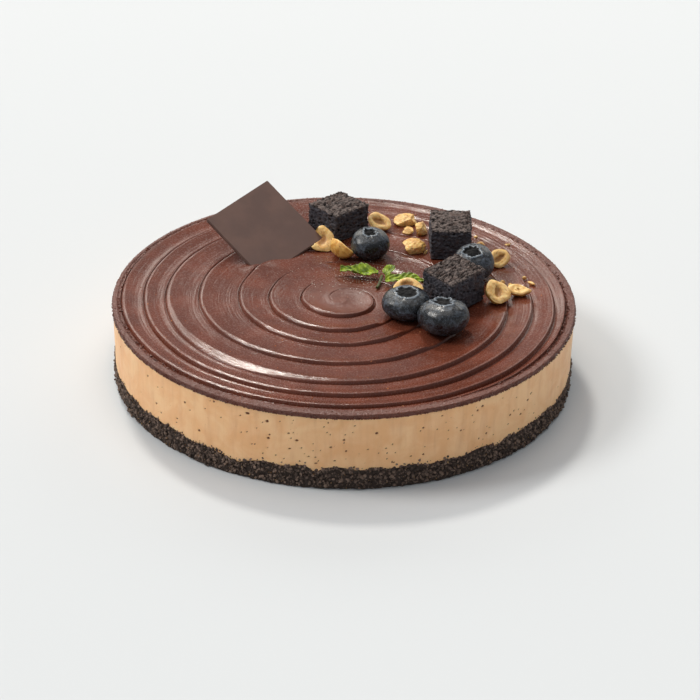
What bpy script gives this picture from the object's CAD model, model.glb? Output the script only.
"""The looks of a round chilled cheesecake: layers, wound ganache top, toppings, light and camera."""

import math
from itertools import combinations

import bmesh
import bpy
import numpy as np
from mathutils import Matrix, Vector, noise
from mathutils.bvhtree import BVHTree


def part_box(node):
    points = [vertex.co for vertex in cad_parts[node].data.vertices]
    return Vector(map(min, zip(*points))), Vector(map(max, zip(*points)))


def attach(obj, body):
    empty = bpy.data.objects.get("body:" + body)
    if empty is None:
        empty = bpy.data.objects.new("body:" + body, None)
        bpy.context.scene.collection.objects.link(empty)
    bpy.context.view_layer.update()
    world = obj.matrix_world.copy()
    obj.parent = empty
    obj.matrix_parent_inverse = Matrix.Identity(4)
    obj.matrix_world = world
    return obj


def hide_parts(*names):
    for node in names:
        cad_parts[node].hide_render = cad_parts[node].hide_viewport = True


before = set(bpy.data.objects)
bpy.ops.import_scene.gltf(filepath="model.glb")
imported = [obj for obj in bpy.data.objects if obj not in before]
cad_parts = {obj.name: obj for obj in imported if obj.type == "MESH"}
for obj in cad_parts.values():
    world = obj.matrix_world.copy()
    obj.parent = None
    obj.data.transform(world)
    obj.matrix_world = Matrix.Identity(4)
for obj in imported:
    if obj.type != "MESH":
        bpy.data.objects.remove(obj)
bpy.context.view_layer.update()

MM = 0.001
SEED = 23

# Sizes read from the frame
CAKE_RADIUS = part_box("ganache_top")[1].x
GANACHE_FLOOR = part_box("ganache_top")[0].z
MOUSSE_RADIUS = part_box("mousse_layer")[1].x
REST_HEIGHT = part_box("brownie_1")[0].z
RIM_HEIGHT = REST_HEIGHT
TOPPING_FLOOR = REST_HEIGHT - 0.2 * MM

# The wound ridge: groove radii at each half turn, from the middle outwards, clockwise
SPIRAL_START = math.radians(330)
SPIRAL_RADII = np.array(
    (0, 7, 14.2, 19.3, 26.3, 33.6, 38.4, 47.1, 54.4, 64.0, 71.2, 78.0, 82.0, 87.5, 91.5, 96.4, 95.2, 100)
) * MM
TURN_STEPS = 300
TURN_ANGLES = SPIRAL_START - 2 * math.pi * np.arange(TURN_STEPS) / TURN_STEPS
BANDS = 10
BAND_STEPS = (2, 2, 3, 4, 3, 3, 2, 1, 3, 3, 2, 1)
RIDGE_BIRTH = (0.30, 0.85)
RIDGE_END = (7.92, 8.15)
GROOVE_DROP = 1.9 * MM
CREST_RISE = 0.62 * MM
SHOULDER_SLOPE = 0.28
FOOT_WIDTH = 0.90 * MM
FULL_BAND = 11 * MM
RIM_ROUNDING = 1.1 * MM
# Rim's rounding: shares of it inwards and downwards, and of the rim's waver
RIM_SECTION = ((1, 0, 0), (0.62, 0.08, 0.3), (0.29, 0.29, 0.5), (0.08, 0.62, 0.8), (0, 1, 1))
SEAT_HEIGHT = REST_HEIGHT - 0.3 * MM
SEAT_SLOPE = 0.35

# The hollow inside the curl in the middle: place, reach and depth
BASIN_PLACE = (5.2 * MM, -5.9 * MM)
BASIN_REACH = 6.5 * MM
BASIN_DEPTH = 0.6 * MM

# The dab of ganache at the plaque's lower corner: place, spread and height
DAB_PLACE = (-38.5 * MM, 29.0 * MM)
DAB_SPREAD = (7.0 * MM, 4.0 * MM)
DAB_HEIGHT = 0.8 * MM

# The plaque: side, thickness, uppermost corner and the directions of its two edges from there
PLAQUE_SIDE = 37.4 * MM
PLAQUE_THICKNESS = 1.7 * MM
PLAQUE_TOP_CORNER = (-35.4 * MM, 70.5 * MM, 57.5 * MM)
PLAQUE_LEFT_EDGE = (-26.0, -26.1, -7.3)
PLAQUE_RIGHT_EDGE = (25.6, -20.4, -18.3)

# Layer line between crumb and mousse, as in the solids
CRUMB_RADIUS = 98.6 * MM
CRUMB_HEIGHT = 9.7 * MM
CRUMB_WAVES = ((7, 0.45 * MM), (17, 0.35 * MM), (41, 0.35 * MM))
CRUMB_DIPS = ((244, 3.3 * MM, 3.2), (264, 2.2 * MM, 1.6), (311, 2.0 * MM, 1.8), (96, 2.4 * MM, 3.5))

# Scattered bits: how many of each kind
RIM_GRAINS = 4400
DARK_GRAINS = 8600
TAN_GRAINS = 620
TAN_SPECKS = 170
PALE_SPECKS = 340

# Camera: solved from the ellipses of the rim and the base
CAMERA_PLACE = (2.976 * MM, -1139.484 * MM, 642.657 * MM)
CAMERA_PITCH = math.radians(29.02)
CAMERA_ROLL = math.radians(1.115)
CAMERA_LENS = 154.286

draw = np.random.default_rng(SEED)


# Shared helpers


def ease(low, high, value):
    share = np.clip((np.asarray(value, float) - low) / (high - low), 0, 1)
    return share * share * (3 - 2 * share)


def bell(value, middle, spread):
    return np.exp(-(((value - middle) / spread) ** 2))


def fractal(points, scale, shift=0.0, octaves=4):
    """Fractal noise, about -1 to 1, at points given in metres."""
    offset = Vector((shift, 1.7 * shift, 2.3 * shift))
    return np.array([noise.fractal(Vector(p) * scale + offset, 1.0, 2.0, octaves) for p in points])


def cells(points, scale, shift=0.0):
    """Distance to the nearest of scattered cell centres, in cell widths."""
    offset = Vector((shift, 1.7 * shift, 2.3 * shift))
    return np.array([noise.voronoi(Vector(p) * scale + offset)[0][0] for p in points])


def around(angle, radius=1.0, height=0.0):
    """Points at an angle, distance and height, round the upward axis."""
    x = radius * np.cos(angle)
    return np.stack((x, radius * np.sin(angle), height + 0 * x), axis=-1)


def rotation(degrees, axis):
    return Matrix.Rotation(math.radians(degrees), 3, axis)


def turned_by(points, turn):
    return points @ np.array(turn).T


def taken_from(mesh):
    """Points and faces of a working mesh, which is then freed."""
    points = np.array([vert.co for vert in mesh.verts])
    faces = sorted([vert.index for vert in face.verts] for face in mesh.faces)
    mesh.free()
    return points, faces


def points_of(mesh):
    flat = np.empty(len(mesh.vertices) * 3)
    mesh.vertices.foreach_get("co", flat)
    return flat.reshape(-1, 3)


def add_object(name, data):
    made = bpy.data.objects.new(name, data)
    bpy.context.scene.collection.objects.link(made)
    return made


def add_piece(name, verts, faces, material, slot, replaced=(), smooth=True, **attributes):
    """Makes a mesh piece that rides on the cake's body."""
    mesh = bpy.data.meshes.new(name)
    mesh.from_pydata(np.asarray(verts).tolist(), [], [tuple(face) for face in faces])
    mesh.validate()
    mesh.polygons.foreach_set("use_smooth", [smooth] * len(mesh.polygons))
    mesh.materials.append(material)
    piece = add_object(name, mesh)
    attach(piece, "root")
    if replaced:
        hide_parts(*replaced)
    for key, values in attributes.items():
        set_attribute(piece, key, values)
    return piece


def merge_close(piece):
    """Joins the points that meet in the middle of the swirl, and closes the slits that are left."""
    nearly_same = 0.002 * MM
    above_underside = GANACHE_FLOOR + 0.5 * MM
    mesh = bmesh.new()
    mesh.from_mesh(piece.data)
    bmesh.ops.remove_doubles(mesh, verts=mesh.verts, dist=nearly_same)
    middle = [v for v in mesh.verts if v.co.xy.length < 0.15 * MM and v.co.z > above_underside]
    bmesh.ops.pointmerge(mesh, verts=middle, merge_co=middle[0].co)
    bmesh.ops.dissolve_degenerate(mesh, edges=mesh.edges, dist=nearly_same)
    bmesh.ops.holes_fill(mesh, edges=mesh.edges, sides=8)
    mesh.to_mesh(piece.data)
    mesh.free()


def set_attribute(piece, name, values):
    """Stores one number for each point, for the material to read."""
    layer = piece.data.attributes.new(name, "FLOAT", "POINT")
    layer.data.foreach_set("value", np.asarray(values, np.float32))


def strip(low, high):
    """Quads between two rows of points that run once round, given by their numbers."""
    return np.stack((low, np.roll(low, -1), np.roll(high, -1), high), axis=1).tolist()


def ring_faces(rows, count, start=0):
    """Quads between rows that follow one another, from a first point's number."""
    index = start + np.arange(rows * count).reshape(rows, count)
    return [quad for low, high in zip(index, index[1:]) for quad in strip(low, high)]


def fan(row, centre):
    """Triangles from a row that runs once round to the point in its middle."""
    return [(a, b, centre) for a, b in zip(row, np.roll(row, -1))]


# Materials


def linear(red, green, blue):
    """A colour read as 0 to 255 values, for a shader socket."""
    channels = [value / 255 for value in (red, green, blue)]
    return [c / 12.92 if c <= 0.04045 else ((c + 0.055) / 1.055) ** 2.4 for c in channels] + [1]


class Shader:
    """A Principled material and short names for the nodes that feed it."""

    def __init__(self, name, roughness, specular, scatter=()):
        self.material = bpy.data.materials.new(name)
        self.material.use_nodes = True
        self.tree = self.material.node_tree
        self.surface = self.tree.nodes["Principled BSDF"]
        self.set("Roughness", roughness)
        self.set("Specular IOR Level", specular)
        for part, value in zip(("Weight", "Scale", "Radius"), scatter):
            self.set("Subsurface " + part, value)
        self.place = self.tree.nodes.new("ShaderNodeTexCoord").outputs["Object"]

    def feed(self, socket, value):
        """Links another node's output to a socket, or stores a plain value in it."""
        if isinstance(value, bpy.types.NodeSocket):
            self.tree.links.new(value, socket)
        else:
            socket.default_value = value

    def node(self, kind, inputs=(), **settings):
        made = self.tree.nodes.new(kind)
        for key, value in settings.items():
            setattr(made, key, value)
        for key, value in dict(inputs).items():
            self.feed(made.inputs[key], value)
        return made

    def noise(self, size, detail=4.0, vector=None, roughness=0.55, distortion=0.0):
        """Noise whose features are about size mm wide."""
        inputs = {"Vector": vector or self.place, "Scale": 1 / (size * MM), "Detail": detail}
        inputs.update(Roughness=roughness, Distortion=distortion)
        return self.node("ShaderNodeTexNoise", inputs).outputs["Fac"]

    def attribute(self, name):
        return self.node("ShaderNodeAttribute", attribute_name=name).outputs["Fac"]

    def steps(self, value, low, high, start=0.0, end=1.0):
        """Start below low, end above high, and a smooth change between them."""
        inputs = {"Value": value, "From Min": low, "From Max": high, "To Min": start, "To Max": end}
        return self.node("ShaderNodeMapRange", inputs, interpolation_type="SMOOTHSTEP").outputs["Result"]

    def maths(self, operation, first, second):
        return self.node("ShaderNodeMath", {0: first, 1: second}, operation=operation).outputs[0]

    def mix(self, factor, first, second):
        made = self.node("ShaderNodeMix", data_type="RGBA")
        for key, value in {"Factor": factor, "A": first, "B": second}.items():
            self.feed(next(s for s in made.inputs if s.name == key and s.enabled), value)
        return next(s for s in made.outputs if s.enabled)

    def tones(self, value, low, high, first, second):
        """The first colour where the value is below low, and the second where it is above high."""
        return self.mix(self.steps(value, low, high), linear(*first), linear(*second))

    def tint(self, colour, mask, low, high, share, tone):
        """Mixes up to a share of a tone into a colour, as the mask goes from low to high."""
        return self.mix(self.steps(mask, low, high, 0, share), colour, linear(*tone))

    def speckle(self, colour, size, low, high, share, tone):
        """Mixes a tone into a colour at scattered points that are about size mm apart."""
        inputs = {"Vector": self.place, "Scale": 1 / (size * MM)}
        away = self.node("ShaderNodeTexVoronoi", inputs).outputs["Distance"]
        return self.mix(self.steps(away, low, high, share, 0), colour, linear(*tone))

    def set(self, socket, value):
        self.feed(self.surface.inputs[socket], value)

    def painted(self, colour, *layers):
        """The material with its colour and fine relief, each layer of it noise as (size, detail, depth) in mm
        or a pattern and a depth."""
        self.set("Base Color", colour)
        normal = None
        for *pattern, depth in layers:
            height = self.noise(*pattern) if len(pattern) == 2 else pattern[0]
            inputs = {"Height": height, "Distance": depth * MM, "Strength": 1.0}
            if normal:
                inputs["Normal"] = normal
            normal = self.node("ShaderNodeBump", inputs).outputs["Normal"]
        self.set("Normal", normal)
        return self.material


def ganache_material():
    """Set ganache: even brown, a fine grain, faint streaks along the ridges and a duller, darker rim."""
    look = Shader("ganache", 0.24, 0.5)
    colour = look.tones(look.noise(18, 3), 0.35, 0.7, (95, 49, 35), (111, 58, 41))
    colour = look.tint(colour, look.noise(0.9, 3), 0.62, 0.80, 0.35, (158, 96, 68))
    colour = look.speckle(colour, 3.4, 0.04, 0.09, 0.6, (186, 120, 84))
    rim = look.attribute("rim")
    colour = look.tint(colour, rim, 0.5, 1.0, 0.4, (88, 40, 25))
    satin = look.steps(look.maths("ADD", look.noise(3, 4), rim), 0.3, 1.6, 0.16, 0.36)
    dry = look.steps(look.noise(0.8, 2), 0.50, 0.60, 0, 0.16)
    dull = look.maths("MULTIPLY", look.attribute("middle"), 0.30)
    look.set("Roughness", look.maths("ADD", look.maths("ADD", satin, dry), dull))
    sweep = look.node("ShaderNodeAttribute", attribute_name="sweep").outputs["Vector"]
    streaks = look.node("ShaderNodeTexNoise", {"Vector": sweep, "Scale": 1.0, "Detail": 5.0}).outputs["Fac"]
    grain = look.maths("MULTIPLY", look.noise(1.3, 3), rim)
    return look.painted(colour, (streaks, 0.16), (0.6, 2, 0.07), (grain, 0.8))


def mousse_material():
    """Pale set mousse: a cloudy, even tone, and dark pits where bubbles broke."""
    look = Shader("mousse", 0.50, 0.35, (0.15, 0.003, (1.0, 0.6, 0.4)))
    colour = look.tones(look.noise(11, 5, distortion=0.6), 0.34, 0.68, (244, 188, 134), (252, 205, 154))
    upright = look.node("ShaderNodeVectorMath", {0: look.place, 1: (1, 1, 0.12)}, operation="MULTIPLY")
    brushed = look.noise(2.8, 4, upright.outputs[0])
    colour = look.tint(colour, brushed, 0.45, 0.78, 0.38, (220, 162, 118))
    colour = look.tint(colour, look.attribute("pit"), 0.15, 0.6, 1, (112, 60, 32))
    colour = look.speckle(colour, 2.6, 0.05, 0.08, 0.3, (168, 112, 72))
    return look.painted(colour, (1.4, 4, 0.06), (0.4, 2, 0.02))


def crumb_material(name, dark, light, share):
    """Broken biscuit: each grain has its own shade."""
    look = Shader(name, 0.78, 0.35)
    own = look.maths("MULTIPLY", look.attribute("shade"), share)
    mottle = look.maths("MULTIPLY", look.noise(0.6), 1 - share)
    colour = look.tones(look.maths("ADD", own, mottle), 0.2, 0.85, dark, light)
    return look.painted(colour, (0.22, 3, 0.08))


def brownie_material():
    """Near-black cake, browner in its pores, with a dusty crust."""
    look = Shader("brownie", 0.72, 0.4)
    crust = look.noise(1.2, 6, roughness=0.65)
    top = look.tones(crust, 0.36, 0.66, (44, 36, 35), (118, 103, 97))
    side = look.tones(crust, 0.3, 0.7, (52, 51, 58), (92, 90, 97))
    colour = look.mix(look.attribute("side"), top, side)
    colour = look.tint(colour, look.noise(3.2, 3), 0.5, 0.72, 0.6, (80, 56, 46))
    colour = look.speckle(colour, 1.5, 0.05, 0.12, 0.5, (120, 96, 84))
    colour = look.tint(colour, look.attribute("depth"), 0.15, 0.75, 0.92, (15, 11, 10))
    broken = look.noise(1.0, 5, roughness=0.65)
    return look.painted(colour, (broken, 0.6), (0.28, 3, 0.08))


def berry_material():
    """Blue-black skin under a patchy wax bloom that is rubbed off in places."""
    look = Shader("berry", 0.38, 0.55)
    bloom = look.noise(5, 6, roughness=0.65, distortion=1.2)
    colour = look.tones(bloom, 0.47, 0.62, (10, 11, 15), (70, 79, 91))
    colour = look.tint(colour, look.noise(1.7, 5, distortion=1.5), 0.48, 0.58, 0.9, (13, 14, 18))
    colour = look.tint(colour, look.noise(0.9, 5, distortion=2.0), 0.55, 0.64, 0.50, (112, 124, 136))
    colour = look.tint(colour, look.attribute("crown"), 0.3, 0.9, 0.65, (124, 136, 148))
    hollow = look.attribute("hollow")
    colour = look.tint(colour, hollow, 0.1, 0.6, 0.95, (13, 12, 13))
    look.set("Roughness", look.maths("ADD", look.steps(bloom, 0.42, 0.62, 0.26, 0.55), hollow))
    return look.painted(colour, (1.1, 4, 0.10), (0.3, 2, 0.03))


def nut_material():
    """Roasted kernel: cream where it is cut, golden and mottled outside, browner in and round its cavity."""
    look = Shader("nut", 0.45, 0.45, (0.2, 0.002, (1.0, 0.55, 0.25)))
    tone = look.noise(2.2, 5)
    outside = look.tones(tone, 0.35, 0.68, (238, 190, 104), (196, 136, 56))
    inside = look.tones(tone, 0.38, 0.7, (252, 214, 146), (228, 178, 102))
    colour = look.mix(look.attribute("cut"), outside, inside)
    colour = look.tint(colour, look.noise(1.7, 5, distortion=0.8), 0.58, 0.68, 0.6, (168, 108, 48))
    uneven = look.steps(look.noise(1.1, 4), 0.35, 0.65, -0.15, 0.15)
    browned = look.maths("ADD", look.attribute("cavity"), uneven)
    colour = look.tint(colour, browned, 0.05, 0.75, 0.8, (158, 98, 44))
    return look.painted(colour, (1.2, 4, 0.22), (0.3, 3, 0.05))


def mint_material():
    """Fresh leaf: green in uneven patches, with paler veins."""
    look = Shader("mint", 0.42, 0.5, (0.25, 0.001, (0.6, 1.0, 0.2)))
    colour = look.tones(look.noise(2.2, 4), 0.35, 0.7, (88, 110, 20), (172, 194, 50))
    colour = look.tint(colour, look.attribute("vein"), 0.3, 0.9, 0.45, (178, 198, 86))
    return look.painted(colour, (0.9, 3, 0.18), (0.3, 2, 0.04))


def stem_material():
    """Dark olive stem with a fine mottle."""
    look = Shader("stem", 0.5, 0.4)
    colour = look.tones(look.noise(0.8, 4), 0.35, 0.7, (52, 54, 26), (88, 98, 40))
    return look.painted(colour, (0.4, 3, 0.06))


def plaque_material():
    """Smooth moulded chocolate with a faint cast and a fine, uneven satin."""
    look = Shader("plaque", 0.40, 0.5)
    colour = look.tones(look.noise(12, 3), 0.35, 0.7, (91, 65, 56), (102, 73, 62))
    look.set("Roughness", look.steps(look.noise(4, 4), 0.3, 0.7, 0.36, 0.48))
    return look.painted(colour, (2.5, 3, 0.03), (0.4, 2, 0.012))


# Ganache


def curve_value(values, position):
    """Values at fractional places in a list, on a Catmull-Rom curve."""
    last = len(values) - 1
    position = np.clip(position, 0, last)
    first = np.minimum(position.astype(int), last - 1)
    share = position - first
    a, b, c, d = (values[np.clip(first + step, 0, last)] for step in (-1, 0, 1, 2))
    return b + 0.5 * share * (c - a + share * (2 * a - 5 * b + 4 * c - d + share * (3 * (b - c) + d - a)))


def groove_radius(turns):
    """Distance of the groove from the axis, with the slight waver of a hand-held palette knife."""
    radius = curve_value(SPIRAL_RADII, 2 * turns)
    phase = 2 * math.pi * turns
    waver = 0.22 * np.sin(2.3 * phase) + 0.16 * np.sin(5.1 * phase + 1) + 0.07 * np.sin(13.7 * phase)
    held = ease(0.5, 1.5, turns) * (1 - ease(8.0, 8.3, turns))
    return np.where(turns > 0, np.minimum(radius + waver * held * MM, CAKE_RADIUS - RIM_ROUNDING), 0)


def near_place(turns, middle, spread):
    """One at a place round the cake, given as a share of a turn, and falling off to both sides of it."""
    return bell((turns - middle + 0.5) % 1 - 0.5, 0, spread)


def ridge_strength(turns):
    phase = 2 * math.pi * turns
    waver = 1 + 0.12 * np.sin(5.3 * turns + 0.8) + 0.07 * np.sin(4.3 * phase) + 0.05 * np.sin(9.1 * phase)
    calm = 1.05 - 0.40 * near_place(turns, 0.46, 0.13) - 0.55 * near_place(turns, 0.74, 0.13)
    return ease(*RIDGE_BIRTH, turns) * (1 - ease(*RIDGE_END, turns)) * waver * calm


def face_width(turns):
    """Width in mm of the ridge's outer side: narrow at the left, and a broad shoulder towards the front."""
    drawn_out = near_place(turns, 0.28, 0.10)
    return 1.4 + drawn_out * (0.7 + 2.6 * bell(turns, 5.25, 0.45))


def band_points():
    """Radius and height of every point of the swirl, as (angles, points outwards) arrays."""
    steps = np.arange(TURN_STEPS) / TURN_STEPS
    turns = steps[:, None] + np.arange(BANDS)[None, :]
    inner = groove_radius(turns - 1)
    outer = groove_radius(turns)
    width = outer - inner
    scale = np.minimum(1, width / FULL_BAND) * MM
    inside = ridge_strength(turns - 1)
    outside = ridge_strength(turns)
    most = np.maximum(inside, outside)
    crest = outer - face_width(turns) * scale
    foot = outer - FOOT_WIDTH / MM * scale
    level_part = crest - inner
    slope = SHOULDER_SLOPE * outside
    wave = near_place(turns, 0.95, 0.14) * ease(1.5, 3, turns)
    knots = (
        (inner, -GROOVE_DROP * inside),
        (inner + 0.25 * scale, -(0.80 + 0.55 * wave) * MM * inside),
        (inner + 0.8 * scale, -(0.48 + 0.72 * wave) * MM * inside),
        (inner + 0.26 * level_part, -(0.52 + 0.18 * wave) * MM * most),
        (inner + 0.52 * level_part, -(0.38 - 0.18 * wave) * MM * most),
        (crest - 3.2 * scale, 0.0 * outside),
        (crest - 1.3 * scale, 0.40 * MM * outside),
        (crest - 0.35 * scale, CREST_RISE * outside),
        (crest + 0.10 * scale, 0.96 * CREST_RISE * outside),
        ((crest + foot) / 2, CREST_RISE * outside - slope * (foot - crest) / 2),
        (foot, CREST_RISE * outside - slope * (foot - crest)),
        (outer - 0.25 * scale, -0.90 * MM * outside),
        (outer, -GROOVE_DROP * outside),
    )
    places, heights = np.moveaxis(np.array(knots), 0, -1)
    radii, levels = smooth_section(places, heights)
    return radii.reshape(TURN_STEPS, -1), levels.reshape(TURN_STEPS, -1)


def smooth_section(places, heights):
    """Fills in points between knots with a cubic that passes through them."""
    slopes = np.zeros_like(heights)
    gap = np.maximum(places[..., 2:] - places[..., :-2], 1e-9)
    slopes[..., 1:-1] = (heights[..., 2:] - heights[..., :-2]) / gap
    step = np.maximum(np.diff(places, axis=-1), 1e-9)
    slopes[..., 0] = (heights[..., 1] - heights[..., 0]) / step[..., 0]
    slopes[..., -1] = (heights[..., -1] - heights[..., -2]) / step[..., -1]
    radii = []
    levels = []
    for k, count in enumerate(BAND_STEPS):
        share = np.arange(count) / count
        place, low, slope = (values[..., k, None] for values in (places, heights, slopes))
        run = places[..., k + 1, None] - place
        s2 = share * share
        s3 = s2 * share
        level = (2 * s3 - 3 * s2 + 1) * low + (3 * s2 - 2 * s3) * heights[..., k + 1, None]
        level = level + (s3 - 2 * s2 + share) * run * slope + (s3 - s2) * run * slopes[..., k + 1, None]
        radii.append(place + share * run)
        levels.append(level)
    return np.concatenate(radii, axis=-1), np.concatenate(levels, axis=-1)


def middle_of(node):
    low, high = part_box(node)
    return (low + high) / 2


def topping_seats():
    """Circles under the toppings, as (x, y, radius), read from the frame's boxes."""
    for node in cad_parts:
        if node not in ("crumb_base", "mousse_layer", "ganache_top", "chocolate_plaque"):
            low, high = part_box(node)
            middle = middle_of(node)
            yield middle.x, middle.y, 0.42 * (high - low).xy.length


def ganache_heights(points, level):
    """Adds unevenness, the dab at the plaque, and seats under the toppings."""
    x, y, _ = points.T
    level = level + 0.10 * MM * fractal(points, 1 / (7 * MM), 3.1, 3)
    for seat_x, seat_y, radius in topping_seats():
        away = np.maximum(np.hypot(x - seat_x, y - seat_y) - radius - 1.5 * MM, 0)
        level = np.minimum(level, SEAT_HEIGHT - RIM_HEIGHT + SEAT_SLOPE * away)
    level = level - BASIN_DEPTH * bell(np.hypot(x - BASIN_PLACE[0], y - BASIN_PLACE[1]), 0, BASIN_REACH)
    away = np.hypot((x - DAB_PLACE[0]) / DAB_SPREAD[0], (y - DAB_PLACE[1]) / DAB_SPREAD[1])
    dab = DAB_HEIGHT * bell(away, 0, 1) * (1 + 0.12 * fractal(points, 1 / (4 * MM), 8.8, 3))
    return level + dab


def rim_rows():
    """Points of the rounded rim, the side band with its ragged lip, and the underside."""
    edge = around(TURN_ANGLES)
    lip = GANACHE_FLOOR - 0.15 * MM + 0.28 * MM * fractal(edge * CAKE_RADIUS, 1 / (3 * MM), 5.5, 3)
    wobble = 0.16 * MM * fractal(edge * CAKE_RADIUS, 1 / (5 * MM), 1.5, 3) - 0.62 * MM
    rows = [
        (CAKE_RADIUS - inward * RIM_ROUNDING + share * wobble, RIM_HEIGHT - down * RIM_ROUNDING)
        for inward, down, share in RIM_SECTION
    ]
    rows += [
        (CAKE_RADIUS + wobble, 0.5 * (RIM_HEIGHT - RIM_ROUNDING + lip)),
        (CAKE_RADIUS + wobble - 0.03 * MM, lip + 0.2 * MM),
        (CAKE_RADIUS + wobble - 0.25 * MM, lip),
        (MOUSSE_RADIUS - 0.5 * MM, lip + 0.05 * MM),
        (MOUSSE_RADIUS - 2 * MM, GANACHE_FLOOR),
    ]
    return [around(TURN_ANGLES, radius, height) for radius, height in rows]


def build_ganache(material):
    """The swirled top as one closed skin, its points running along the ridges."""
    radii, levels = band_points()
    top = around(TURN_ANGLES[:, None], radii).reshape(-1, 3)
    fade = ease(0, 1.2 * MM, CAKE_RADIUS - RIM_ROUNDING - np.hypot(top[:, 0], top[:, 1]))
    top[:, 2] = RIM_HEIGHT + ganache_heights(top, levels.ravel()) * fade
    per_band = sum(BAND_STEPS)
    index = np.arange(len(top)).reshape(radii.shape)
    following = np.concatenate((index[1:], np.roll(index[:1], -per_band, axis=1)))
    quads = np.stack((index[:, :-1], following[:, :-1], following[:, 1:], index[:, 1:]), axis=-1)
    rows = rim_rows()
    verts = np.concatenate((top, *rows, [(0, 0, GANACHE_FLOOR)]))
    centre = len(verts) - 1
    faces = quads[:-1].reshape(-1, 4).tolist() + quads[-1, :-per_band].tolist()
    faces += ring_faces(len(rows), TURN_STEPS, len(top))
    faces += strip(index[:, -1], len(top) + np.arange(TURN_STEPS))
    faces += fan(np.arange(centre - TURN_STEPS, centre), centre)
    piece = add_piece("ganache", verts, faces, material, "ganache", ("ganache_top",))
    merge_close(piece)
    store_sweep(piece)
    return piece


def build_rim_grain(material):
    """The crumbly edge of the ganache: uneven grains set in the rim, from its flat top to its lip."""
    angle = draw.uniform(-math.pi, math.pi, RIM_GRAINS)
    size = (0.5 + 0.9 * draw.random(RIM_GRAINS) ** 2.2) * MM
    on_flat = draw.random(RIM_GRAINS) < 0.3
    flat_places = draw.uniform(-4.2, -1.2, RIM_GRAINS)
    down = np.where(on_flat, flat_places, draw.uniform(-1.2, 2.6, RIM_GRAINS)) * MM
    rounded = np.where(down < RIM_ROUNDING, 0.35 * (RIM_ROUNDING - np.maximum(down, 0)), 0)
    radius = CAKE_RADIUS - 0.02 * MM - 0.62 * size - (np.maximum(-down, 0) + rounded)
    height = RIM_HEIGHT - np.maximum(down, 0.15 * MM) - 0.12 * size
    height = np.maximum(height, GANACHE_FLOOR + 0.1 * MM)
    places = around(angle, radius, height)
    build_grains("rim_grain", places, size, material, "ganache", rim=np.full(12 * RIM_GRAINS, 0.5))


def store_sweep(piece):
    """Stores how far out each point lies, for streaks along the ridges and the grainy rim."""
    points = points_of(piece.data)
    radius = np.hypot(points[:, 0], points[:, 1])
    angle = np.arctan2(points[:, 1], points[:, 0])
    sweep = np.stack((radius / (0.9 * MM), 3 * np.cos(angle), 3 * np.sin(angle)), axis=1)
    layer = piece.data.attributes.new("sweep", "FLOAT_VECTOR", "POINT")
    layer.data.foreach_set("vector", sweep.astype(np.float32).ravel())
    set_attribute(piece, "middle", bell(radius, 0, 15 * MM))
    set_attribute(piece, "rim", ease(CAKE_RADIUS - 5.5 * MM, CAKE_RADIUS - 3.5 * MM, radius))


# Mousse and crumb base


def crumb_top(angle):
    """Height of the line between crumb and mousse."""
    height = CRUMB_HEIGHT + 0 * angle
    for count, size in CRUMB_WAVES:
        height = height + size * np.sin(count * angle + count)
    for place, depth, spread in CRUMB_DIPS:
        away = (np.degrees(angle) - place + 180) % 360 - 180
        height = height - depth * bell(away, 0, spread)
    return height


def circle_angles(count):
    return 2 * math.pi * np.arange(count) / count


def wall_points(rows, radius, low, high):
    """An upright wall between two uneven edges: its points, their angles and shares of its height."""
    angles = np.tile(circle_angles(len(low)), (rows, 1))
    shares = np.tile(np.linspace(0, 1, rows)[:, None], (1, len(low)))
    points = around(angles, radius, low + shares * (high - low))
    return points.reshape(-1, 3), angles.ravel(), shares.ravel()


def close_wall(points, count, low_level, high_level):
    """Points and faces of a wall, closed by a ring and a fan below and above."""
    inner = 0.93
    low_ring = points[:count] * (inner, inner, 0) + (0, 0, low_level)
    high_ring = points[-count:] * (inner, inner, 0) + (0, 0, high_level)
    verts = np.concatenate((points, low_ring, high_ring, [(0, 0, low_level)], [(0, 0, high_level)]))
    first = np.arange(count)
    below = first + len(points)
    above = below + count
    faces = ring_faces(len(points) // count, count) + strip(below, first) + strip(below - count, above)
    faces += [(b, a, centre) for a, b, centre in fan(below, len(verts) - 2)]
    return verts, faces + fan(above, len(verts) - 1)


PIT_COUNT = 230
# The bubbles that stand out: place from the middle and above the mousse's foot, and half sizes, all in mm
NAMED_PITS = (
    (-38, 22, 1.1, 0.5), (-41, 20, 0.5, 0.3), (-52, 23, 0.6, 0.4), (-30, 20, 0.9, 0.4),
    (-29, 14, 0.5, 0.4), (-4, 11, 0.6, 0.4), (-10, 3, 0.7, 0.4), (-13, 6, 0.5, 0.3),
)


def mousse_pits():
    """Broken bubbles as (angle, height, half width, half height)."""
    for across, height, width, tall in NAMED_PITS:
        angle = math.asin(across / 99) - math.pi / 2
        yield angle, (height + 9) * MM, width * MM, tall * MM
    for _ in range(PIT_COUNT):
        size = (0.17 + 0.36 * draw.random() ** 3) * MM
        crowded = draw.random() < 0.5
        if crowded:
            angle = draw.normal(draw.choice((-0.95, -1.65)), 0.22)
        else:
            angle = draw.uniform(-math.pi, math.pi)
        yield angle, draw.uniform(12, 32) * MM, size * draw.uniform(1.0, 1.7), size


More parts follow.
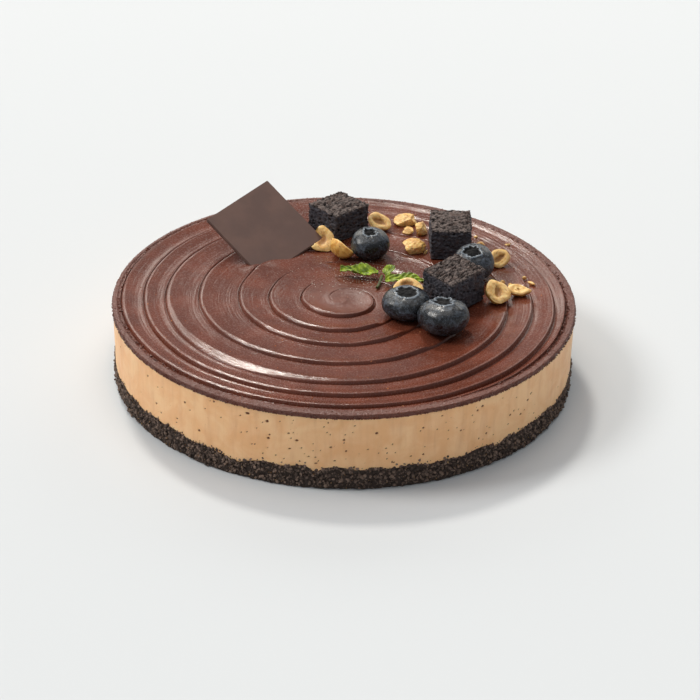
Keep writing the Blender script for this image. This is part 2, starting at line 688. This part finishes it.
def build_mousse(material):
    """The mousse's wall with real pits, over the crumb's uneven line."""
    count, rows = 1440, 54
    line = crumb_top(circle_angles(count))
    top = GANACHE_FLOOR - 0.1 * MM
    points, angles, shares = wall_points(rows, MOUSSE_RADIUS, line + 0.1 * MM, top + 0 * line)
    inward = 0.5 * MM * (1 - shares)
    inward += 0.12 * MM * (1 + fractal(points * (1, 1, 0.7), 1 / (9 * MM), 2.2, 3))
    inward += 0.02 * MM * fractal(points, 1 / (2 * MM), 6.2, 2)
    pit = np.zeros(len(points))
    for angle, height, half_width, half_height in mousse_pits():
        turn = (angles - angle + math.pi) % (2 * math.pi) - math.pi
        away = np.hypot(turn * MOUSSE_RADIUS / half_width, (points[:, 2] - height) / half_height)
        pit = np.maximum(pit, 1 - ease(0.35, 1.25, away))
    inward += 0.55 * MM * pit
    points[:, :2] *= (1 - inward / MOUSSE_RADIUS)[:, None]
    verts, faces = close_wall(points, count, CRUMB_HEIGHT + 0.2 * MM, top)
    pit = np.concatenate((pit, np.zeros(len(verts) - len(pit))))
    add_piece("mousse", verts, faces, material, "mousse", ("mousse_layer",), pit=pit)


ICO = (1 + math.sqrt(5)) / 2
ICO_POINTS = np.array(
    [(0, a, b * ICO) for a in (-1, 1) for b in (-1, 1)]
    + [(a, b * ICO, 0) for a in (-1, 1) for b in (-1, 1)]
    + [(b * ICO, 0, a) for a in (-1, 1) for b in (-1, 1)]
) / math.hypot(1, ICO)


def ico_faces():
    """The twenty faces of the icosahedron: each three points that are one edge apart."""
    edge = 2 / math.hypot(1, ICO) + 0.01
    faces = []
    for a, b, c in combinations(range(12), 3):
        p, q, r = ICO_POINTS[[a, b, c]]
        if max(np.linalg.norm(p - q), np.linalg.norm(q - r), np.linalg.norm(r - p)) < edge:
            outward = np.dot(np.cross(q - p, r - p), p) > 0
            faces.append((a, b, c) if outward else (a, c, b))
    return np.array(faces)


def random_turns(count):
    """Rotation matrices spread evenly over all directions."""
    quats = draw.normal(size=(count, 4))
    quats /= np.linalg.norm(quats, axis=1)[:, None]
    w, x, y, z = quats.T
    rows = (
        (1 - 2 * (y * y + z * z), 2 * (x * y - z * w), 2 * (x * z + y * w)),
        (2 * (x * y + z * w), 1 - 2 * (x * x + z * z), 2 * (y * z - x * w)),
        (2 * (x * z - y * w), 2 * (y * z + x * w), 1 - 2 * (x * x + y * y)),
    )
    return np.array(rows).transpose(2, 0, 1)


def build_grains(name, places, sizes, material, slot, **attributes):
    """Many small angular grains in one mesh, each with its own shade."""
    count = len(places)
    shapes = ICO_POINTS[None] * draw.uniform(0.7, 1.15, (count, 12, 1))
    shapes = shapes * draw.uniform(0.6, 1.1, (count, 1, 3))
    turned = np.einsum("nij,nkj->nki", random_turns(count), shapes)
    verts = turned * (np.asarray(sizes) / 2)[:, None, None] + np.asarray(places)[:, None]
    faces = (ico_faces()[None] + 12 * np.arange(count)[:, None, None]).reshape(-1, 3).tolist()
    shade = np.repeat(draw.random(count), 12)
    add_piece(name, verts.reshape(-1, 3), faces, material, slot, smooth=False, shade=shade, **attributes)


def build_crumb(dark, tan):
    """The crumb base: a rough wall under a coat of loose-looking grains."""
    count, rows = 1100, 26
    line = crumb_top(circle_angles(count))
    points = wall_points(rows, CRUMB_RADIUS - 0.3 * MM, 0 * line, line)[0]
    out = crumb_swell(points) - 0.6 * MM * cells(points, 1 / (1.7 * MM))
    points[:, :2] *= (1 + out / CRUMB_RADIUS)[:, None]
    points[-count:, 2] += 0.25 * MM * fractal(points[-count:], 1 / (1.2 * MM), 7.7, 2)
    verts, faces = close_wall(points, count, 0, CRUMB_HEIGHT)
    add_piece("crumb_wall", verts, faces, dark, "crumb", ("crumb_base",), shade=np.full(len(verts), 0.15))
    build_grains("crumb_grains_dark", *crumb_places(DARK_GRAINS, 0.55, 2.1), dark, "crumb")
    build_grains("crumb_grains_tan", *crumb_places(TAN_GRAINS, 0.4, 1.0), tan, "crumb")


def crumb_swell(points):
    """How far clumps of crumb stand out from the side, or gaps between them go in."""
    return 0.7 * MM * fractal(points, 1 / (4 * MM), 4.4, 4)


def crumb_places(count, smallest, largest):
    """Places and sizes of grains on the crumb's side, some of them over its ragged top line."""
    angle = draw.uniform(-math.pi, math.pi, count)
    size = (smallest + (largest - smallest) * draw.random(count) ** 2.5) * MM
    share = draw.uniform(0, 1, count)
    top = crumb_top(angle)
    stray = 1.6 * MM * draw.random(count) ** 5 * share
    height = size / 2 + 0.1 * MM + share * (top - size / 2 + 0.4 * MM) + stray
    swell = crumb_swell(around(angle, CRUMB_RADIUS, height))
    radius = CRUMB_RADIUS - 0.15 * MM + swell + draw.uniform(-0.25, 0.25, count) * MM
    radius = np.where(height > top - 0.2 * MM, np.maximum(radius, MOUSSE_RADIUS - 0.6 * MM), radius)
    return around(angle, np.minimum(radius, CAKE_RADIUS - 0.65 * size), height), size


# Toppings


def tilt_matrix(tilt, direction):
    """Tips the upward axis over by a number of degrees, towards a compass direction."""
    across = math.radians(direction + 90)
    return rotation(tilt, Vector((math.cos(across), math.sin(across), 0)))


def settle(points, node, sunk):
    """Moves points to their node's place, with their lowest part sunk in the ganache."""
    middle = middle_of(node)
    points += (middle.x, middle.y, REST_HEIGHT - points[:, 2].min() - sunk)
    points[:, 2] = np.maximum(points[:, 2], TOPPING_FLOOR)


# Length, width and height in mm, turn and lean in degrees
BROWNIES = {
    "brownie_1": (19.8, 18.6, 13.1, 43, 0),
    "brownie_2": (17.9, 21.8, 13.7, 1, 0),
    "brownie_3": (20.4, 17.8, 15.4, 44, 5),
}
BROWNIE_CUTS = 56


def build_brownie(node, material, length, width, height, turn, lean):
    """A cube of cake cut by hand: porous sides, a cracked top and crumbled edges."""
    cube = bmesh.new()
    bmesh.ops.create_cube(cube, size=1)
    bmesh.ops.subdivide_edges(cube, edges=cube.edges[:], cuts=BROWNIE_CUTS, use_grid_fill=True)
    unit, faces = taken_from(cube)
    on_side = np.abs(unit) > 0.499
    outward = np.where(on_side, np.sign(unit), 0)
    outward /= np.linalg.norm(outward, axis=1)[:, None]
    size = np.array((length, width, height)) * MM
    points = unit * size
    edge = np.sort(0.5 - np.abs(unit), axis=1)[:, 1] * size.min()
    worn = 0.28 * MM * (1 - ease(0, 0.9 * MM, edge)) * (1 + 1.6 * fractal(points, 1 / (2.5 * MM), turn, 3))
    swell = 0.40 * MM * fractal(points, 1 / (6 * MM), turn + 1, 3)
    rough = 0.42 * MM * fractal(points, 1 / (1.2 * MM), turn + 2, 4)
    pores = 1 - ease(0.12, 0.42, cells(points, 1 / (2.1 * MM), turn))
    pores *= ease(-0.2, 0.25, fractal(points, 1 / (5 * MM), turn + 3, 2))
    layered = 1 - np.abs(fractal(points * (0.5, 1.7, 1.4), 1 / (3 * MM), turn + 4, 2))
    cracks = ease(0.86, 0.97, layered) * np.where(unit[:, 2] > 0.45, 1, 0.25)
    away = swell + rough - worn - 0.85 * MM * pores - 1.5 * MM * cracks
    keep_flat = ease(-0.5, -0.42, unit[:, 2])
    points += outward * (away * (0.15 + 0.85 * keep_flat))[:, None]
    points = turned_by(points, rotation(lean, "X") @ rotation(turn, "Z"))
    middle = middle_of(node)
    points += (middle.x, middle.y, 0)
    points[:, 2] += REST_HEIGHT + 0.05 * MM - points[:, 2].min()
    points[:, 2] = np.maximum(points[:, 2] - lean * 0.2 * MM, REST_HEIGHT)
    depth = np.clip(pores + 0.8 * cracks, 0, 1)
    side = 1 - ease(0.42, 0.495, unit[:, 2])
    add_piece(f"{node}_cake", points, faces, material, "brownie", (node,), depth=depth, side=side)


# Width and height in mm; lean, its direction and the crown's reach in degrees
BERRIES = {
    "blueberry_1": (17.2, 13.0, 8, 265, 19),
    "blueberry_2": (18.2, 14.8, 14, 240, 24),
    "blueberry_3": (20.8, 12.4, 3, 265, 25),
    "blueberry_4": (22.0, 14.8, 7, 110, 20),
}


def build_berry(node, material, width, height, lean, lean_to, crown_reach):
    """A flattened berry whose crown is a ragged five-lobed ring round a deep hollow."""
    index = number_of(node)
    ball = bmesh.new()
    bmesh.ops.create_uvsphere(ball, u_segments=96, v_segments=72, radius=1)
    unit, faces = taken_from(ball)
    azimuth = np.arctan2(unit[:, 1], unit[:, 0])
    polar = np.degrees(np.arccos(np.clip(unit[:, 2], -1, 1)))
    lobes = 0.5 + 0.5 * np.cos(5 * azimuth + index)
    ragged = fractal(around(azimuth), 2.2, 7.0 * index, 5)
    brim = crown_reach + 1.8 * lobes + 9.0 * ragged
    hollow = 1 - ease(brim - 8, brim, polar)
    crown = np.where(polar < brim, bell(polar, brim, 2.0), bell(polar, brim, 5))
    points = unit.copy()
    points[:, 2] += crown * (0.01 + 0.04 * lobes + 0.12 * ragged) - 0.13 * hollow + 0.06 * bell(polar, 0, 7)
    points[:, 2] += 0.10 * hollow * fractal(unit, 7, 2.0 * index, 4)
    points[:, :2] *= (1 + 0.02 * np.cos(3 * azimuth + index))[:, None]
    points *= (1 + 0.05 * bell(polar, 50, 22))[:, None]
    wrinkle = fractal(unit, 2.4, 3.0 * index, 4) * 0.022 + fractal(unit, 9, 5.0 * index, 2) * 0.006
    points *= (1 + wrinkle)[:, None]
    points *= np.array((width, width, height)) / 2 * MM
    points = turned_by(points, tilt_matrix(lean, lean_to))
    settle(points, node, 1.0 * MM)
    crown = crown * (1 - hollow)
    add_piece(f"{node}_fruit", points, faces, material, "berry", (node,), crown=crown, hollow=hollow)


# Length, width and depth in mm; direction and tilt of the cut face and turn in it, in degrees; cavity's size
NUT_HALVES = {
    "hazelnut_1": (12.2, 11.4, 3.8, 275, 44, 90, 0.50),
    "hazelnut_2": (13.2, 10.4, 5.4, 40, 52, 310, 0.10),
    "hazelnut_3": (11.2, 8.6, 4.4, 280, 34, 335, 0.50),
    "hazelnut_4": (9.4, 13.4, 4.0, 272, 34, 90, 0.62),
    "hazelnut_5": (9.8, 8.4, 4.4, 285, 52, 40, 0.45),
    "hazelnut_6": (11.8, 12.0, 5.2, 310, 34, 110, 0.40),
    "hazelnut_7": (10.4, 5.6, 3.8, 280, 24, 355, 0.14),
}
NUT_BY_PLAQUE = (-10.6 * MM, 48.4 * MM)
NUT_AROUND = 64
NUT_RINGS = 16


def build_half_nut(node, material, length, width, depth, look, tilt, tip, cavity_size):
    """Half a kernel: a pointed oval with a rounded back and a long, uneven hollow in its cut face."""
    index = number_of(node)
    angle = circle_angles(NUT_AROUND)
    pointed = np.maximum(np.cos(angle), 0)
    uneven = 1 + 0.04 * np.sin(3 * angle + 2 * index) + 0.03 * np.sin(5 * angle + index)
    outline = np.stack((np.cos(angle) + 0.12 * pointed**2, np.sin(angle) * (1 - 0.20 * pointed**2)), axis=1)
    outline *= uneven[:, None]
    rows = []
    hollow = []
    for ring in range(NUT_RINGS):
        down = math.pi / 2 * (1 - (ring + 1) / (NUT_RINGS + 1))
        rows.append(np.column_stack((outline * math.cos(down), np.full(NUT_AROUND, -math.sin(down)))))
    for ring in range(NUT_RINGS):
        share = 1 - ring / NUT_RINGS
        face = outline * share * 0.985
        reach = np.hypot(face[:, 0] / 1.3, face[:, 1] / 0.8) + 0.05 * np.sin(2 * angle + index)
        sunk = 1 - ease(0.35 * cavity_size, 1.25 * cavity_size, reach)
        lift = 0.06 * bell(share, 0.72, 0.14) - 0.06 * ease(0.88, 1.0, share)
        lift = lift + 0.05 * np.sin(2 * angle + 3 * index)
        rows.append(np.column_stack((face, lift * share - 0.24 * sunk)))
        hollow.append(sunk)
    points = np.concatenate(rows + [[(0, 0, -1)], [(0, 0, -0.24)]])
    points *= np.array((length / 2.12, width / 2, depth)) * MM
    shifts = [fractal(points, 1 / (3 * MM), 9.0 * index + axis, 4) for axis in range(3)]
    points += 0.20 * MM * np.column_stack(shifts)
    first = np.arange(NUT_AROUND)
    faces = ring_faces(2 * NUT_RINGS, NUT_AROUND)
    faces += [(b, a, centre) for a, b, centre in fan(first, len(points) - 2)]
    faces += fan(first + len(points) - 2 - NUT_AROUND, len(points) - 1)
    points = turned_by(points, tilt_matrix(tilt, look) @ rotation(tip, "Z"))
    middle = Vector(NUT_BY_PLAQUE) if index == 1 else middle_of(node)
    low = points.min(axis=0)
    centre = (low + points.max(axis=0)) / 2
    points += (middle.x - centre[0], middle.y - centre[1], REST_HEIGHT - low[2] - 0.5 * MM)
    points = behind_plaque(points)
    points[:, 2] = np.maximum(points[:, 2], TOPPING_FLOOR)
    back = np.zeros(NUT_RINGS * NUT_AROUND)
    cut = np.concatenate((back, back + 0.85, (0, 0.85)))
    cavity = np.concatenate((back, *hollow, (0, 1)))
    add_piece(f"{node}_kernel", points, faces, material, "nut", (node,), cut=cut, cavity=cavity)


# Length, width and height in mm, turn in degrees
NUT_FRAGMENTS = {
    "hazelnut_8": (9.4, 8.2, 3.6, 10),
    "hazelnut_9": (4.4, 5.0, 2.2, 80),
    "hazelnut_10": (6.9, 5.4, 4.6, 60),
    "hazelnut_11": (8.6, 8.8, 5.2, 110),
}
# Place, length, width and height in mm, turn in degrees
NUT_CHIPS = (
    (35.6, 45.0, 3.0, 1.5, 1.5, 50),
    (60.3, 54.0, 4.4, 2.2, 1.7, 355),
    (81.8, 17.0, 4.6, 1.9, 1.5, 325),
    (68.6, 17.6, 2.6, 2.0, 1.5, 30),
    (71.9, 16.0, 2.4, 1.9, 1.4, 300),
    (58.4, 61.0, 2.2, 1.4, 1.2, 10),
    (78.6, 22.4, 2.4, 1.4, 1.2, 330),
    (72.3, 54.2, 2.4, 1.5, 1.2, 15),
)


def broken_lump(length, width, height, turn, shift, fineness):
    """Points and faces of a broken bit of nut: a ball cut by flat breaks."""
    ball = bmesh.new()
    bmesh.ops.create_icosphere(ball, subdivisions=fineness, radius=1)
    unit, faces = taken_from(ball)
    breaks = draw.normal(size=(8, 3)) * (1, 1, 0.7)
    breaks /= np.linalg.norm(breaks, axis=1)[:, None]
    facing = np.maximum(unit @ breaks.T, 1e-3)
    reach = np.minimum(1.0, (draw.uniform(0.45, 0.9, 8)[None] / facing).min(axis=1))
    for bite in draw.normal(size=(2, 3)):
        bite /= np.linalg.norm(bite)
        reach = reach - 0.30 * bell(np.linalg.norm(unit - bite, axis=1), 0, 0.40)
    points = unit * (reach * (1 + 0.10 * fractal(unit, 4, shift, 4)))[:, None]
    points *= np.array((length, width, height)) / 2 * MM
    return turned_by(points, rotation(turn, "Z")), faces, reach


def build_fragment(node, material, length, width, height, turn):
    size = (length * 1.25, width * 1.25, height * 1.35)
    points, faces, reach = broken_lump(*size, turn, 5.0 * number_of(node), 5)
    settle(points, node, 0.3 * height * MM)
    middle = middle_of(node)
    inside = np.hypot(points[:, 0] - middle.x, points[:, 1] - middle.y) / (length * MM)
    cut = 1 - 0.6 * ease(0.9, 1.0, reach)
    cavity = 0.3 * (1 - ease(0.1, 0.3, inside))
    add_piece(f"{node}_bit", points, faces, material, "nut", (node,), cut=cut, cavity=cavity)


def build_chips(material):
    """The small chips that lie in the ganache, joined in one piece."""
    verts = []
    faces = []
    for index, (x, y, length, width, height, turn) in enumerate(NUT_CHIPS):
        points, lump, _ = broken_lump(length * 1.1, width * 1.1, height * 1.5, turn, 7.0 * index, 3)
        faces += [[len(verts) + corner for corner in face] for face in lump]
        verts += (points + (x * MM, y * MM, RIM_HEIGHT)).tolist()
    cavity = np.zeros(len(verts))
    add_piece("nut_chips", verts, faces, material, "nut", ("ganache_top",), cut=cavity + 0.6, cavity=cavity)


# Base point, length and width in mm; heading, roll and climb in degrees
BLADES = {
    "mint_leaf_left": ((14.6, 20.4, 37.4), 16.6, 6.4, 175, 10, 1),
    "mint_leaf_right": ((17.7, 14.9, 37.2), 16.8, 6.8, 357, 8, -1),
    "mint_leaflet": ((17.4, 20.2, 37.4), 6.0, 4.8, 46, 8, 14),
}
BLADE_TEETH = 8


def build_blade(node, material, base, length, width, heading, roll, climb):
    """A toothed leaf with a sunken midrib, side veins and puckers between them."""
    along_count, across_count = 73, 33
    along = np.repeat(np.linspace(0, 1, along_count), across_count)
    side = np.tile(np.linspace(-1, 1, across_count), along_count)
    saw = (along * BLADE_TEETH) % 1
    tooth = 1 + 0.16 * (saw - 0.5) * np.abs(side) ** 6
    outline = 0.12 + 0.88 * np.sin(math.pi * (0.06 + 0.88 * along) ** 0.85) ** 0.8
    vein_place = (along * 6 - 1.6 * np.abs(side)) % 1
    vein = np.maximum(bell(side, 0, 0.06), 0.7 * bell(vein_place, 0.5, 0.10) * (1 - np.abs(side) ** 3))
    wave = 0.045 * np.sin(9 * along + 2 * side) + 0.11 * np.abs(side) - 0.16 * (along - 0.5) ** 2
    pucker = 0.012 * np.sin(2 * math.pi * vein_place) - 0.016 * bell(side, 0, 0.07)
    half_width = side * width / 2 * outline * tooth
    points = np.stack((along * length, half_width, (wave + pucker) * length), axis=1) * MM
    points = turned_by(points, rotation(roll, "X") @ rotation(heading, "Z") @ rotation(-climb, "Y"))
    points += np.array(base) * MM
    points[:, 2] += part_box(node)[0].z + 0.2 * MM - points[:, 2].min()
    index = np.arange(len(points)).reshape(along_count, across_count)
    quads = np.stack((index[:-1, :-1], index[1:, :-1], index[1:, 1:], index[:-1, 1:]), axis=-1)
    faces = quads.reshape(-1, 4).tolist()
    piece = add_piece(f"{node}_blade", points, faces, material, "mint", (node,), vein=vein)
    shell = piece.modifiers.new("thickness", "SOLIDIFY")
    shell.thickness = 0.3 * MM
    shell.offset = 0


def plaque_turn():
    """The plaque's directions as columns: along its left edge, along its right edge, and out of its face."""
    along = Vector(PLAQUE_LEFT_EDGE).normalized()
    out = along.cross(Vector(PLAQUE_RIGHT_EDGE)).normalized()
    return Matrix((along, out.cross(along), out)).transposed()


def behind_plaque(points):
    """Presses points that lie in the plaque or in front of it back behind it."""
    turned = np.array(plaque_turn())
    local = (points - np.array(PLAQUE_TOP_CORNER)) @ turned
    covered = ((local[:, :2] > 0) & (local[:, :2] < PLAQUE_SIDE)).all(axis=1)
    local[covered, 2] = np.minimum(local[covered, 2], -PLAQUE_THICKNESS - 0.1 * MM)
    return local @ turned.T + np.array(PLAQUE_TOP_CORNER)


def build_plaque(material):
    """The square plaque with softened edges, its lower corner sunk in the ganache."""
    turned = plaque_turn()
    slab = bmesh.new()
    bmesh.ops.create_cube(slab, size=1)
    bmesh.ops.scale(slab, verts=slab.verts, vec=(PLAQUE_SIDE, PLAQUE_SIDE, PLAQUE_THICKNESS))
    bmesh.ops.bevel(slab, geom=slab.edges[:], offset=0.35 * MM, segments=3, affect="EDGES")
    centre = Vector((PLAQUE_SIDE / 2, PLAQUE_SIDE / 2, -PLAQUE_THICKNESS / 2))
    points, faces = taken_from(slab)
    verts = [turned @ (Vector(point) + centre) + Vector(PLAQUE_TOP_CORNER) for point in points]
    add_piece("plaque", verts, faces, material, "plaque", ("chocolate_plaque",), smooth=False)


def number_of(node):
    return int(node.split("_")[1])


def build_each(build, table, material):
    for node, row in table.items():
        build(node, material, *row)


def build_toppings():
    build_each(build_brownie, BROWNIES, brownie_material())
    build_each(build_berry, BERRIES, berry_material())
    nut = nut_material()
    build_each(build_half_nut, NUT_HALVES, nut)
    build_each(build_fragment, NUT_FRAGMENTS, nut)
    build_chips(nut)
    build_each(build_blade, BLADES, mint_material())
    repaint("mint_stem", stem_material())
    build_plaque(plaque_material())


def repaint(node, material):
    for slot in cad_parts[node].material_slots:
        slot.material = material


def build_specks(ganache):
    """Stray crumbs over the whole top, and a dusting of pale specks round the mint."""
    tan = crumb_material("speck_tan", (150, 84, 52), (214, 140, 92), 0.75)
    angle = draw.uniform(-math.pi, math.pi, TAN_SPECKS)
    radius = (CAKE_RADIUS - 3 * MM) * np.sqrt(draw.random(TAN_SPECKS))
    spread = around(angle, radius)[:, :2]
    size = (0.35 + 0.65 * draw.random(TAN_SPECKS) ** 3) * MM
    build_grains("ganache_specks_tan", on_surface(ganache, spread), size, tan, "ganache")
    pale = crumb_material("speck_pale", (190, 176, 160), (240, 232, 220), 0.75)
    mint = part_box("mint_stem")[1]
    dusted = draw.normal((mint.x - 9 * MM, mint.y + 3 * MM), (13 * MM, 10 * MM), (PALE_SPECKS, 2))
    size = draw.uniform(0.32, 0.60, PALE_SPECKS) * MM
    build_grains("ganache_specks_pale", on_surface(ganache, dusted), size, pale, "ganache")


def on_surface(piece, places):
    """Points on a piece's upper surface above or below the given places."""
    corners = [face.vertices[:] for face in piece.data.polygons]
    tree = BVHTree.FromPolygons(points_of(piece.data).tolist(), corners)
    down = Vector((0, 0, -1))
    return np.array([tree.ray_cast(Vector((x, y, 2 * RIM_HEIGHT)), down)[0] for x, y in places])


# Stage

FLOOR_REACH = 6.0
PANEL_HEIGHT = 0.65


def build_stage():
    """A plain pale floor, three suns from behind, the left and overhead, two panels and an even sky."""
    look = Shader("floor", 0.9, 0.1)
    look.set("Base Color", (0.637, 0.662, 0.68, 1))
    mesh = bpy.data.meshes.new("floor")
    corners = [(x * FLOOR_REACH, y * FLOOR_REACH, 0) for x, y in ((-1, -1), (1, -1), (1, 1), (-1, 1))]
    mesh.from_pydata(corners, [], [(0, 1, 2, 3)])
    mesh.materials.append(look.material)
    add_object("floor", mesh)
    add_sun("softbox", (-0.190, 0.590, 0.785), 1.35, 8, (1.0, 0.95, 0.87))
    add_sun("left", (-0.70, 0.05, 0.71), 1.5, 20, (1.0, 0.97, 0.93))
    add_sun("overhead", (-0.05, 0.10, 0.99), 0.8, 60, (1.0, 0.98, 0.96))
    add_panel("panel_left", (-0.60, 1.2, 0.68), 0.8, 3.0)
    add_panel("panel_right", (0.61, 1.2, 0.68), 0.8, 2.3)
    world = bpy.data.worlds.new("sky")
    world.use_nodes = True
    sky = world.node_tree.nodes["Background"].inputs
    sky["Color"].default_value = (0.93, 0.96, 1.0, 1)
    sky["Strength"].default_value = 0.30
    bpy.context.scene.world = world
    bpy.context.scene.view_settings.view_transform = "Standard"


def add_sun(name, towards, strength, spread, colour):
    lamp = bpy.data.lights.new(name, "SUN")
    lamp.energy = strength
    lamp.angle = math.radians(spread)
    lamp.color = colour
    add_object(name, lamp).rotation_euler = Vector(towards).to_track_quat("Z", "Y").to_euler()


def add_panel(name, place, width, radiance):
    """A tall soft panel behind the cake that faces the camera's side and shines on the glossy top."""
    lamp = bpy.data.lights.new(name, "AREA")
    lamp.shape = "RECTANGLE"
    lamp.size = width
    lamp.size_y = PANEL_HEIGHT
    lamp.energy = radiance * math.pi * lamp.size * lamp.size_y
    lamp.color = (1.0, 0.95, 0.86)
    item = add_object(name, lamp)
    item.location = place
    item.rotation_euler = (math.radians(-90), 0, 0)
    item.visible_camera = False


def build_camera():
    data = bpy.data.cameras.new("camera")
    data.lens = CAMERA_LENS
    data.sensor_width = 36
    data.clip_end = 20
    camera = add_object("camera", data)
    aim = Matrix.Rotation(math.pi / 2 - CAMERA_PITCH, 4, "X") @ Matrix.Rotation(CAMERA_ROLL, 4, "Z")
    camera.matrix_world = Matrix.Translation(CAMERA_PLACE) @ aim
    bpy.context.scene.camera = camera


def main():
    build_camera()
    build_stage()
    ganache = build_ganache(ganache_material())
    build_mousse(mousse_material())
    dark = crumb_material("crumb_dark", (68, 56, 50), (136, 115, 102), 0.7)
    tan = crumb_material("crumb_tan", (120, 88, 58), (188, 152, 108), 0.75)
    build_crumb(dark, tan)
    build_toppings()
    build_specks(ganache)
    build_rim_grain(ganache.data.materials[0])


main()
